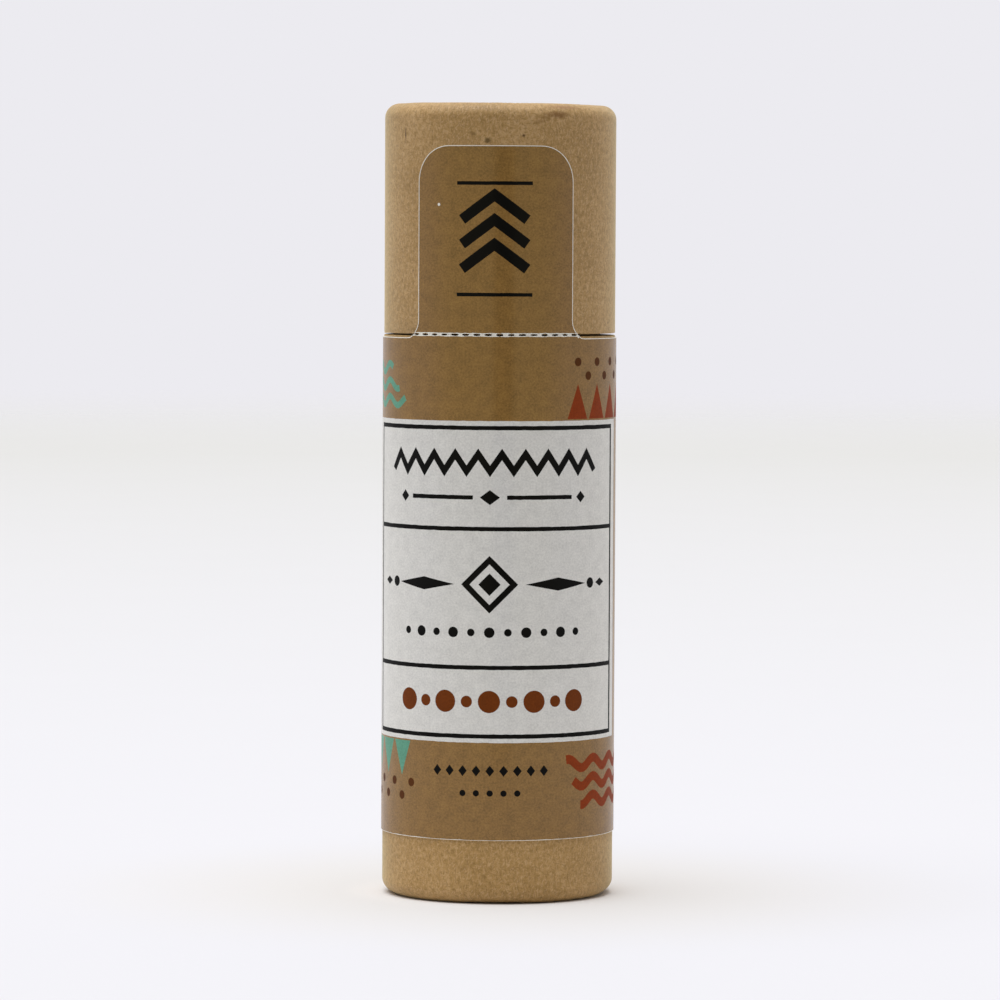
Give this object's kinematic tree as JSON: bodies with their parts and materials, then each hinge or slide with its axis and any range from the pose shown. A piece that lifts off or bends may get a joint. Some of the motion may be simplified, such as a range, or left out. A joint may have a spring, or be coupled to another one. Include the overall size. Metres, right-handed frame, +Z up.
{
  "type": "lip balm stick",
  "caption": "Lip balm in a push-up kraft paper tube: a loose disc pushes the balm up from the foot, and a slide-off cap is sealed by a tear-off label tab.",
  "frame": {"origin": "middle of the rolled foot, on the surface that the tube stands on", "axes": "+Z up the tube towards the cap, -Y out of the middle of the label and its seal tab"},
  "size_m": [0.0222, 0.0222, 0.0752],
  "materials": {
    "kraft_paper": "uncoated kraft wrap",
    "wound_board": "raw wound board",
    "greaseproof_paper": "smooth waxed paper",
    "printed_label": "satin coated and printed",
    "balm": "smooth waxy"
  },
  "bodies": {
    "base": {"base_board": "wound_board", "base_wrap": "kraft_paper", "neck_tube": "wound_board", "neck_liner": "greaseproof_paper", "wrap_label": "printed_label"},
    "push_up": {"push_disc_face": "kraft_paper", "push_disc_board": "wound_board", "push_disc_film": "greaseproof_paper", "balm_stick": "balm"},
    "cap": {"cap_board": "wound_board", "cap_wrap": "kraft_paper", "cap_disc_face": "kraft_paper", "cap_disc_board": "wound_board", "cap_disc_film": "greaseproof_paper", "seal_tab": "printed_label"}
  },
  "joints": [
    {"name": "push_up_slide", "type": "slide", "parent": "base", "child": "push_up", "axis": [0, 0, 1], "range_m": [0, 0.0665]},
    {"name": "cap_slide", "type": "slide", "parent": "push_up", "child": "cap", "axis": [0, 0, 1], "range_m": [0, 0.045]}
  ]
}
